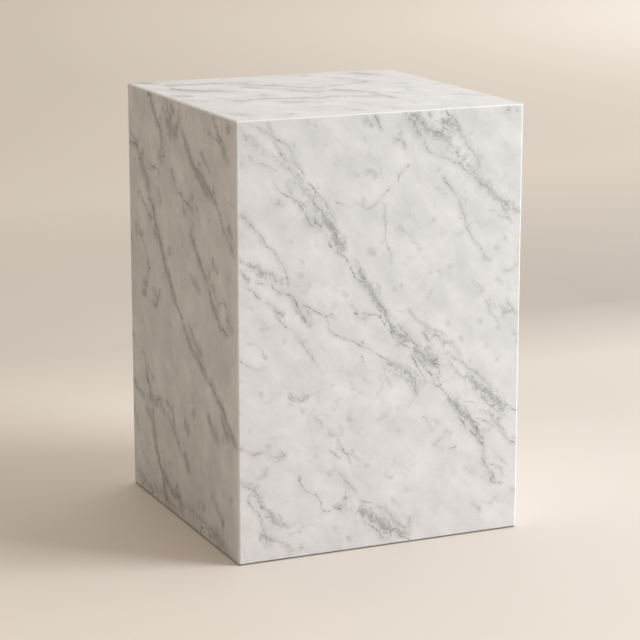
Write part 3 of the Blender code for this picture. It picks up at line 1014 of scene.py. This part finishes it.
def select_edges(mesh, wanted):
    """Select the edges that a test picks, and nothing else."""
    for group in (mesh.vertices, mesh.edges, mesh.polygons):
        for part in group:
            part.select = False
    for edge in mesh.edges:
        edge.select = wanted(edge)


def edge_length(mesh, edge):
    """The length of one edge."""
    start, end = (mesh.vertices[index].co for index in edge.vertices)
    return (end - start).length


def cut_block(settings):
    """Model the block: squared, its edges rounded, its faces divided for the hand finish."""
    bpy.ops.object.select_all(action="DESELECT")
    bpy.ops.mesh.primitive_cube_add(size=1, location=(LOW + HIGH) / 2)
    block = bpy.context.active_object
    block.name = block.data.name = "veined_block"
    block.dimensions = (WIDTH, DEPTH, HEIGHT)
    bpy.ops.object.transform_apply(location=True, rotation=True, scale=True)
    mesh = block.data
    bpy.context.tool_settings.mesh_select_mode = (False, True, False)
    select_edges(mesh, lambda edge: True)
    in_edit(bpy.ops.mesh.bevel, offset=settings.arris_radius, segments=settings.arris_segments, profile=0.5,
            affect="EDGES")
    select_edges(mesh, lambda edge: edge_length(mesh, edge) > WIDTH / 2)
    in_edit(bpy.ops.mesh.subdivide, number_cuts=settings.rows - 1)
    return block


# A vertex is on a rounded edge where it lies this share of the radius out, in two directions.
ROUNDED_SHARE = 0.02

# Room between the panels of the UV map.
UV_GAP = 8 * MM


def rub_edges(block, settings):
    """Wear the rounded edges unevenly, as hand rubbing does, always into the stone."""
    flat_low = LOW + Vector((1, 1, 1)) * settings.arris_radius
    flat_high = HIGH - Vector((1, 1, 1)) * settings.arris_radius
    for vertex in block.data.vertices:
        inner = Vector(min(max(c, low), high) for c, low, high in zip(vertex.co, flat_low, flat_high))
        outward = vertex.co - inner
        if sum(abs(c) > settings.arris_radius * ROUNDED_SHARE for c in outward) < 2:
            continue
        wear = noise.noise(vertex.co * settings.wear_scale) * 0.5 + 0.5
        vertex.co -= outward.normalized() * settings.wear * wear


def unfold(block):
    """Give the mesh its own UV map: six upright panels, side by side in two rows."""
    mesh = block.data
    layer = mesh.uv_layers.new(name="OFBake")
    mesh.uv_layers.active = layer
    panel = Vector((max(WIDTH, DEPTH), HEIGHT))
    cell = panel + Vector((UV_GAP, UV_GAP))
    reach = max(3 * cell.x, 2 * cell.y)
    for face in mesh.polygons:
        axis = max(range(3), key=lambda c: abs(face.normal[c]))
        row, column = divmod(axis * 2 + (face.normal[axis] > 0), 3)
        corner = Vector((column * cell.x, row * cell.y)) + (cell - panel) / 2
        across, up = ((1, 2), (0, 2), (0, 1))[axis]
        for loop in face.loop_indices:
            spot = mesh.vertices[mesh.loops[loop].vertex_index].co - LOW
            layer.data[loop].uv = (corner + Vector((spot[across], spot[up]))) / reach


def smooth(block):
    """Shade the edges round and the faces flat, and apply it."""
    bpy.ops.object.shade_smooth_by_angle(angle=math.radians(30))
    weigh = block.modifiers.new("flat faces", "WEIGHTED_NORMAL")
    weigh.mode = "FACE_AREA"
    weigh.weight = 100
    weigh.keep_sharp = True
    bpy.ops.object.modifier_apply(modifier=weigh.name)


def paint_setting(name, description, colour):
    """A setting for a colour that something is painted."""
    return FloatVectorProperty(name=name, description=description, subtype="COLOR", size=4, min=0, max=1,
                               default=(*colour, 1))


def light_setting(name, description, colour):
    """A setting for the colour of a light."""
    return FloatVectorProperty(name=name, description=description, subtype="COLOR", size=3, min=0,
                               default=colour)


def amount_setting(name, description, usual):
    """A setting for how much of something there is."""
    return FloatProperty(name=name, description=description, default=usual, min=0)


def length_setting(name, description, usual):
    """A setting for a length in metres."""
    return FloatProperty(name=name, description=description, default=usual, min=0, unit="LENGTH")


def turn_setting(name, description, degrees):
    """A setting for an angle."""
    return FloatProperty(name=name, description=description, default=math.radians(degrees), subtype="ANGLE")


def place_setting(name, description, place):
    """A setting for a place."""
    return FloatVectorProperty(name=name, description=description, subtype="XYZ", unit="LENGTH", size=3,
                               default=place)


class BlockShape(PropertyGroup):
    """Sizes of the block's worked edges."""

    arris_radius: length_setting("Edge radius", "Radius that every edge is eased to", 0.0025)
    arris_segments: IntProperty(name="Edge segments", description="Flats round each edge", default=6, min=2)
    rows: IntProperty(name="Rows", description="Rows of mesh along each edge", default=24, min=2)
    wear: length_setting("Edge wear", "Deepest uneven rubbing of the edges", 0.0003)
    wear_scale: amount_setting("Wear scale", "Ups and downs of the wear per metre", 22)


class MarbleFinish(PropertyGroup):
    """Colours and strengths of the stone's surface, with its painted highlight, painted shade and painted
    shadow.
    """

    ground: paint_setting("Ground", "White of the stone", (0.884, 0.869, 0.847))
    cloud: paint_setting("Cloud", "Greyer clouds in the white", (0.735, 0.728, 0.712))
    smear: paint_setting("Smear", "Grey of the wide smears", (0.50, 0.495, 0.485))
    vein: paint_setting("Vein", "Grey of the darkest threads", (0.22, 0.22, 0.22))
    # The edge white is the colour of a painted highlight on the rounded edges.
    edge_highlight_white: paint_setting("Edge white", "Bruised white of the eased edges", (0.97, 0.96, 0.94))
    # The foot brown is the colour of a painted shadow along the foot.
    foot_shadow_brown: paint_setting("Foot brown", "Colour of the line at the foot", (0.09, 0.05, 0.03))
    strands: amount_setting("Strands", "Darkness of the drawn veins", 0.75)
    halo: amount_setting("Halo", "Grey beside the drawn veins", 0.45)
    net: amount_setting("Net", "Darkness of the fine net in the smears", 0.6)
    knots: amount_setting("Knots", "Darkness where threads crowd", 0.8)
    wisps: amount_setting("Wisps", "Darkness of the stray threads", 0.22)
    spots: amount_setting("Spots", "Darkness of the scattered marks", 0.3)
    haze: amount_setting("Haze", "Strength of the smears", 0.75)
    # The strength of the painted shade on the shaded side.
    painted_side_shade: amount_setting("Greyer side", "Grey that clouds the shaded side", 0.6)
    # The strength of the painted highlight on the rounded edges.
    edge_highlight: amount_setting("Rubbed edges", "How white the eased edges are", 0.8)
    # The strength of the painted shadow along the foot.
    foot: amount_setting("Foot line", "Strength of the brown line at the foot", 0.9)
    waver: amount_setting("Waver", "How far veins stray from their course, in mm", 9)
    fray: amount_setting("Fray", "Fine roughness of the veins' edges, in mm", 3)
    roughness: amount_setting("Roughness", "Honed finish", 0.3)


class Studio(PropertyGroup):
    """The floor, the lights and the camera."""

    floor: paint_setting("Floor", "Colour of the floor", (0.80, 0.73, 0.655))
    floor_size: length_setting("Floor size", "Side of the floor", 60)
    key_power: amount_setting("Key", "Power of the main light, in watts", 89)
    key_colour: light_setting("Key colour", "Colour of the main light", (0.84, 0.89, 0.975))
    key_size: length_setting("Key size", "Side of the main light", 1.6)
    key_distance: length_setting("Key distance", "From the block to the main light", 3)
    key_height: turn_setting("Key height", "Angle of the main light over the floor", 25)
    key_side: turn_setting("Key side", "Angle of the main light to the right of the front", 57)
    wash_power: amount_setting("Wash", "Power of the light on the far floor, in watts", 78)
    wash_colour: light_setting("Wash colour", "Colour of the light on the far floor", (0.86, 0.91, 1.0))
    wash_place: place_setting("Wash place", "Where the far floor's light hangs", (5, 4.2, 2.5))
    wash_size: length_setting("Wash size", "Side of the far floor's light", 2.5)
    sky: light_setting("Ceiling", "Light from above", (0.83, 0.72, 0.61))
    back: light_setting("Back wall", "Light from behind the block", (0.90, 0.87, 0.85))
    side: light_setting("Window", "Light from the right", (0.80, 0.83, 0.775))
    camera_place: place_setting("Camera", "Where the camera stands", (-1.0943, -2.4856, 0.8589))
    camera_turn: turn_setting("Turn", "Camera's turn to the right of +Y", 23.781)
    camera_tilt: turn_setting("Tilt", "Camera's tilt down", 13.068)
    camera_lens: amount_setting("Lens", "Focal length on a 36 mm frame, in mm", 131.8)


class MARBLE_OT_block(Operator):
    """Build the veined block in place of the plain solid"""

    bl_idname = "marble.block"
    bl_label = "Marble block"

    def execute(self, context):
        settings = context.scene.marble_shape
        block = cut_block(settings)
        rub_edges(block, settings)
        unfold(block)
        smooth(block)
        block.data.materials.clear()
        block.data.materials.append(marble(context.scene.marble_finish))
        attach(block, "root")
        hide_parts(NODE)
        return {"FINISHED"}


# Directions on the floor: to the right, away from the front, and out of the view's right edge.
ACROSS = (1, 0, 0)
AWAY = (0, 1, 0)
OUT_OF_VIEW = (0.85, -0.52, 0)

# The floor's paint stands in for its room's uneven light. It has an even tone, less the painted shade
# of its darker parts: how much, then where, as ramps along directions from one distance to another, in
# metres.
FLOOR_TONE = 1.06
PAINTED_FLOOR_SHADE = (
    # painted shade: the band behind the block, and its right end
    (0.19, (AWAY, 0.5, 0.85), (AWAY, 2.1, 0.9)),
    (0.18, (AWAY, 0.5, 0.85), (AWAY, 2.1, 0.9), (ACROSS, 0.1, 0.9)),
    # painted shade: the left, far behind and behind the band
    (0.1, (AWAY, 2, 4), (ACROSS, 2, 0.5)),
    (0.08, (AWAY, 0.9, 1.4), (AWAY, 3.4, 1.8), (ACROSS, 1.2, 0)),
    # painted shade against the main light's pool: the right front, where it is near, and the floor right of
    # the view
    (0.15, (AWAY, 0.9, 0.3), (ACROSS, -0.3, 0.5)),
    (0.4, (OUT_OF_VIEW, 0.5, 2)),
    # painted shadow beside the shaded side, deepening the block's cast shadow
    (0.1, (AWAY, -0.25, 0), (AWAY, 0.6, 0.3), (ACROSS, -0.1, -0.35)),
)
FLOOR_ROUGHNESS = 0.7


def floor_tone(place):
    """How light the floor is painted from place to place, its darker parts painted shade."""
    tone = FLOOR_TONE
    for depth, *ramps in PAINTED_FLOOR_SHADE:
        for way, start, end in ramps:
            depth = place.along(way).ramp(start, end) * depth
        tone = tone - depth
    return tone


def lay_floor(studio):
    """A wide floor under the block, plain but for its painted shade."""
    bpy.ops.object.select_all(action="DESELECT")
    bpy.ops.mesh.primitive_plane_add(size=studio.floor_size, location=(0, 0, LOW.z))
    floor = bpy.context.active_object
    floor.name = floor.data.name = "studio_floor"
    bpy.ops.object.transform_apply(location=True, rotation=True, scale=True)
    material = bpy.data.materials.new("floor paint")
    sheet = Sheet(material)
    shader = sheet.tree.nodes["Principled BSDF"]
    tone = floor_tone(sheet.node("ShaderNodeTexCoord", {}, {}, "Object"))
    sheet.feed(shader.inputs["Base Color"], sheet.tint(studio.floor[:3], tone))
    shader.inputs["Roughness"].default_value = FLOOR_ROUGHNESS
    floor.data.materials.append(material)


def light_world(studio):
    """Soft light from a pale ceiling, a back wall and a window side."""
    world = bpy.data.worlds.new("room")
    sheet = Sheet(world)
    x, y, z = sheet.node("ShaderNodeTexCoord", {}, {}, "Generated").parts()
    room = sheet.node("ShaderNodeCombineXYZ", {}, {})
    for way, colour in ((x, studio.side), (y, studio.back), (z, studio.sky)):
        room = room + sheet.tint(colour, way.at_least(0) ** 2)
    sheet.feed(world.node_tree.nodes["Background"].inputs["Color"], room)
    bpy.context.scene.world = world


def hang_light(name, place, way, size, power, colour):
    """Hang one square soft light that shines against the given way."""
    bpy.ops.object.light_add(type="AREA", location=place)
    light = bpy.context.active_object
    light.name = name
    light.rotation_euler = way.to_track_quat("Z", "Y").to_euler()
    light.data.shape = "SQUARE"
    light.data.size = size
    light.data.energy = power
    light.data.color = colour
    light.visible_camera = False
    return light


def hang_lights(studio):
    """A large soft light from the front right, and a wash over the floor far behind."""
    level = math.cos(studio.key_height)
    way = Vector((level * math.sin(studio.key_side), -level * math.cos(studio.key_side),
                  math.sin(studio.key_height)))
    key_place = way * studio.key_distance + Vector((0, 0, HEIGHT / 2))
    hang_light("key_light", key_place, way, studio.key_size, studio.key_power, studio.key_colour)
    wash = hang_light("floor_wash", studio.wash_place, Vector((0, 0, 1)), studio.wash_size,
                      studio.wash_power, studio.wash_colour)
    wash.visible_glossy = False
    bpy.context.scene.view_settings.view_transform = "Standard"


def set_camera(studio):
    """Look at the block from above its near edge, as the photograph does."""
    turn = (math.pi / 2 - studio.camera_tilt, 0, -studio.camera_turn)
    bpy.ops.object.camera_add(location=studio.camera_place, rotation=turn)
    camera = bpy.context.active_object
    camera.name = "photo_camera"
    camera.data.lens = studio.camera_lens
    bpy.context.scene.camera = camera


class MARBLE_OT_studio(Operator):
    """Set the floor, the lights and the camera"""

    bl_idname = "marble.studio"
    bl_label = "Studio"

    def execute(self, context):
        studio = context.scene.marble_studio
        lay_floor(studio)
        light_world(studio)
        hang_lights(studio)
        set_camera(studio)
        return {"FINISHED"}


class MARBLE_PT_panel(Panel):
    """The block and its studio in the 3D view's sidebar"""

    bl_idname = "MARBLE_PT_panel"
    bl_label = "Marble block"
    bl_space_type = "VIEW_3D"
    bl_region_type = "UI"
    bl_category = "Marble"

    def draw(self, context):
        for settings, operator in (("marble_shape", None), ("marble_finish", MARBLE_OT_block.bl_idname),
                                   ("marble_studio", MARBLE_OT_studio.bl_idname)):
            group = getattr(context.scene, settings)
            for name in group.__annotations__:
                self.layout.prop(group, name)
            if operator:
                self.layout.operator(operator)


CLASSES = (BlockShape, MarbleFinish, Studio, MARBLE_OT_block, MARBLE_OT_studio, MARBLE_PT_panel)


def register():
    """Make the classes and their settings known to Blender."""
    for cls in CLASSES:
        bpy.utils.register_class(cls)
    bpy.types.Scene.marble_shape = PointerProperty(type=BlockShape)
    bpy.types.Scene.marble_finish = PointerProperty(type=MarbleFinish)
    bpy.types.Scene.marble_studio = PointerProperty(type=Studio)


def unregister():
    """Take them away again."""
    for name in ("marble_shape", "marble_finish", "marble_studio"):
        delattr(bpy.types.Scene, name)
    for cls in reversed(CLASSES):
        bpy.utils.unregister_class(cls)


def main():
    """Build everything."""
    register()
    bpy.ops.marble.block()
    bpy.ops.marble.studio()


if __name__ == "__main__":
    main()
